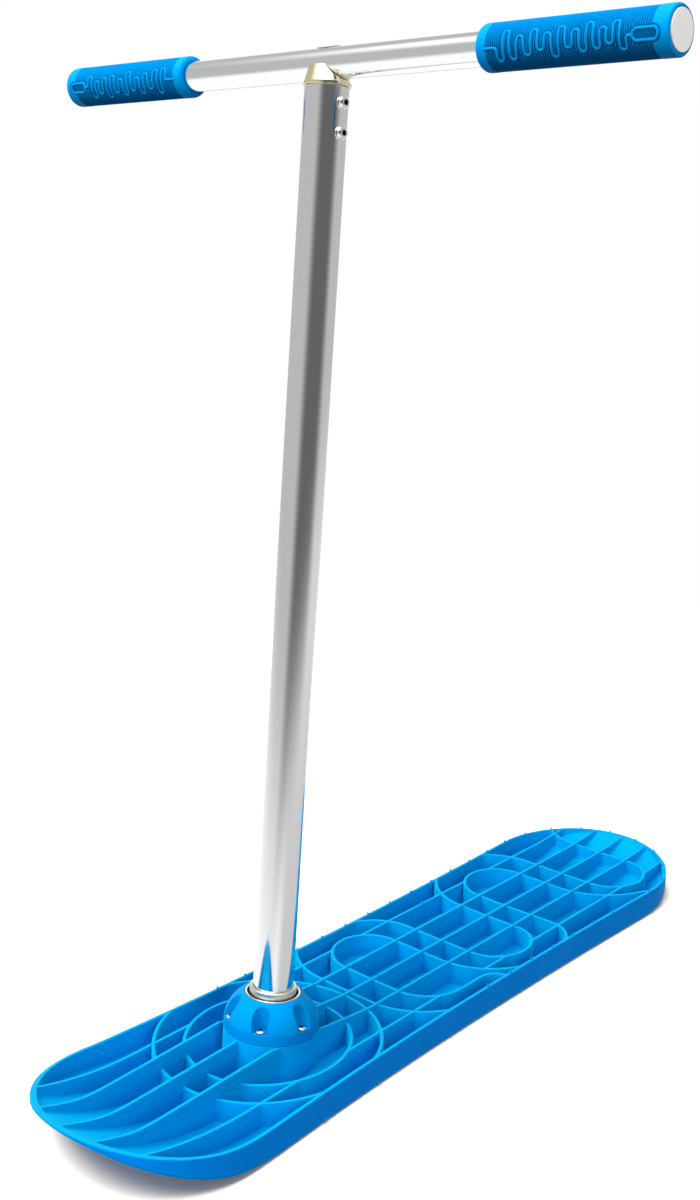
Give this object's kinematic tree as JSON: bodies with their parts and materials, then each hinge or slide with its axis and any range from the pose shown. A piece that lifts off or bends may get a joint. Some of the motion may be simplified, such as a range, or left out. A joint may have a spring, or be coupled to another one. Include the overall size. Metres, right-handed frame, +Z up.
{
  "type": "snow scooter",
  "caption": "Snow scooter: a ribbed plastic snow deck with a domed hub that carries a straight tube post and a T crossbar with ribbed grips, free to spin in the hub.",
  "frame": {"origin": "centre of the bounding box at the underside of the deck, which is the ground plane", "axes": "+X to the nose of the deck, +Y to the rider's left, +Z up"},
  "size_m": [0.727, 0.5618, 0.7709],
  "materials": {
    "deck_plastic": "moulded, satin gloss, azure blue",
    "cover_plastic": "moulded, satin gloss, azure blue",
    "grip_rubber": "moulded, matte, azure blue",
    "post_aluminium": "polished",
    "bar_aluminium": "satin polished",
    "pale_gold": "pale gold, satin",
    "screw_steel": "bright plated",
    "insert_brass": "turned",
    "bush_plastic": "low friction bearing plastic, black",
    "plug_plastic": "white, smooth"
  },
  "bodies": {
    "deck": {"deck": "deck_plastic", "hub_cover": "cover_plastic", "cover_mouth_ring": "screw_steel", "thrust_bush": "bush_plastic", "collar_bush": "bush_plastic", "cover_screw_1": "screw_steel", "cover_screw_2": "screw_steel", "cover_screw_3": "screw_steel", "cover_screw_4": "screw_steel", "cover_screw_5": "screw_steel", "cover_screw_6": "screw_steel", "cover_insert_1": "insert_brass", "cover_insert_2": "insert_brass", "cover_insert_3": "insert_brass", "cover_insert_4": "insert_brass", "cover_insert_5": "insert_brass", "cover_insert_6": "insert_brass"},
    "handlebar": {"post_foot": "pale_gold", "post_tube": "post_aluminium", "stem_cap": "pale_gold", "stem_bolt_upper": "screw_steel", "stem_bolt_lower": "screw_steel", "bar_bolt": "screw_steel", "crossbar": "bar_aluminium", "grip_left": "grip_rubber", "grip_right": "grip_rubber", "bar_end_plug_left": "plug_plastic", "bar_end_plug_right": "plug_plastic"}
  },
  "joints": [
    {"name": "bar_spin", "type": "hinge", "parent": "deck", "child": "handlebar", "pos_m": [0.1555, 0, 0.023], "axis": [-0.0971, 0, 0.9953], "continuous": true}
  ]
}
